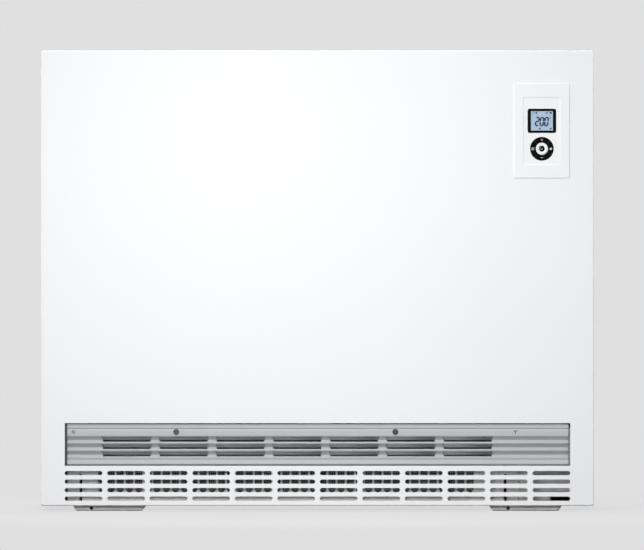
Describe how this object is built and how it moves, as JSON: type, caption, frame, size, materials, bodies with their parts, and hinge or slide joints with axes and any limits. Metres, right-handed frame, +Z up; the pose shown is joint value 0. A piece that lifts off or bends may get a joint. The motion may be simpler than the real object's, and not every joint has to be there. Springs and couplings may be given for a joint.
{
  "type": "storage heater",
  "caption": "Slim floor-standing night storage heater: white steel casing, brick core, fan drawer, louvred outlet grille along the foot and a keypad with display.",
  "frame": {"origin": "on the floor, under the middle of the casing", "axes": "+Z up, -Y out of the front panel, +X to the right of someone who faces it"},
  "size_m": [0.78, 0.25, 0.65],
  "materials": {
    "white_paint": "smooth white powder coat with a low gloss",
    "white_plastic": "fine satin moulding",
    "grey_aluminium": "satin silver-grey",
    "galvanised_steel": "dull zinc",
    "lock_steel": "plated, slightly worn",
    "motor_steel": "dull laminated steel",
    "black_gloss": "polished black",
    "black_plastic": "moulded, matt",
    "display_blue": "backlit liquid crystal",
    "storage_brick": "fired magnesite, coarse",
    "insulation_board": "pressed mineral board",
    "element_steel": "heat-tinted sheath",
    "circuit_board": "green solder mask",
    "terminal_plastic": "off-white moulding"
  },
  "bodies": {
    "casing": {"front_panel": "white_paint", "side_panel_left": "white_paint", "side_panel_right": "white_paint", "top_cover": "white_paint", "rear_panel": "galvanised_steel", "base_tray": "galvanised_steel", "foot_left": "galvanised_steel", "foot_right": "galvanised_steel", "wall_bracket_left": "galvanised_steel", "wall_bracket_right": "galvanised_steel", "outlet_grille": "grey_aluminium", "bay_rail_left": "galvanised_steel", "bay_rail_right": "galvanised_steel", "core_shelf": "galvanised_steel", "partition_panel": "galvanised_steel", "storage_brick_1_1": "storage_brick", "storage_brick_1_2": "storage_brick", "storage_brick_1_3": "storage_brick", "storage_brick_2_1": "storage_brick", "storage_brick_2_2": "storage_brick", "storage_brick_2_3": "storage_brick", "storage_brick_3_1": "storage_brick", "storage_brick_3_2": "storage_brick", "storage_brick_3_3": "storage_brick", "storage_brick_4_1": "storage_brick", "storage_brick_4_2": "storage_brick", "storage_brick_4_3": "storage_brick", "heating_element_1": "element_steel", "heating_element_2": "element_steel", "heating_element_3": "element_steel", "bottom_insulation": "insulation_board", "top_insulation": "insulation_board", "front_insulation": "insulation_board", "rear_insulation": "insulation_board", "left_insulation": "insulation_board", "right_insulation": "insulation_board", "fan_drawer": "galvanised_steel", "fluff_filter": "black_plastic", "fan_scroll": "galvanised_steel", "fan_bearing": "motor_steel", "fan_motor": "motor_steel", "air_duct": "galvanised_steel", "bimetal_strip": "element_steel", "electrics_plate": "galvanised_steel", "power_board": "circuit_board", "terminal_block": "terminal_plastic", "safety_cutout": "black_plastic", "control_housing": "white_plastic", "display_window": "black_gloss", "display_module": "display_blue", "control_board": "circuit_board"},
    "impeller": {"fan_impeller": "black_plastic"},
    "flap": {"mixing_flap": "galvanised_steel"},
    "plus_button": {"key_plus": "black_gloss"},
    "minus_button": {"key_minus": "black_gloss"},
    "menu_button": {"key_menu": "black_gloss"},
    "mode_button": {"key_mode": "black_gloss"},
    "ok_button": {"key_ok": "white_plastic"},
    "left_lock": {"grille_lock_left": "lock_steel"},
    "right_lock": {"grille_lock_right": "lock_steel"}
  },
  "joints": [
    {"name": "fan_spin", "type": "hinge", "parent": "casing", "child": "impeller", "pos_m": [0, 0.042, 0.038], "axis": [1, 0, 0], "continuous": true},
    {"name": "flap_tilt", "type": "hinge", "parent": "casing", "child": "flap", "pos_m": [0, 0.01265, 0.12], "axis": [-1, 0, 0], "range_deg": [0, 50]},
    {"name": "plus_press", "type": "slide", "parent": "casing", "child": "plus_button", "axis": [0, 1, 0], "range_m": [0, 0.0008], "stiffness_N_per_m": 600},
    {"name": "minus_press", "type": "slide", "parent": "casing", "child": "minus_button", "axis": [0, 1, 0], "range_m": [0, 0.0008], "stiffness_N_per_m": 600},
    {"name": "menu_press", "type": "slide", "parent": "casing", "child": "menu_button", "axis": [0, 1, 0], "range_m": [0, 0.0008], "stiffness_N_per_m": 600},
    {"name": "mode_press", "type": "slide", "parent": "casing", "child": "mode_button", "axis": [0, 1, 0], "range_m": [0, 0.0008], "stiffness_N_per_m": 600},
    {"name": "ok_press", "type": "slide", "parent": "casing", "child": "ok_button", "axis": [0, 1, 0], "range_m": [0, 0.0008], "stiffness_N_per_m": 600},
    {"name": "left_lock_turn", "type": "hinge", "parent": "casing", "child": "left_lock", "pos_m": [-0.1993, -0.12, 0.1118], "axis": [0, 1, 0], "range_deg": [0, 90]},
    {"name": "right_lock_turn", "type": "hinge", "parent": "casing", "child": "right_lock", "pos_m": [0.1096, -0.12, 0.1118], "axis": [0, 1, 0], "range_deg": [0, 90]}
  ]
}
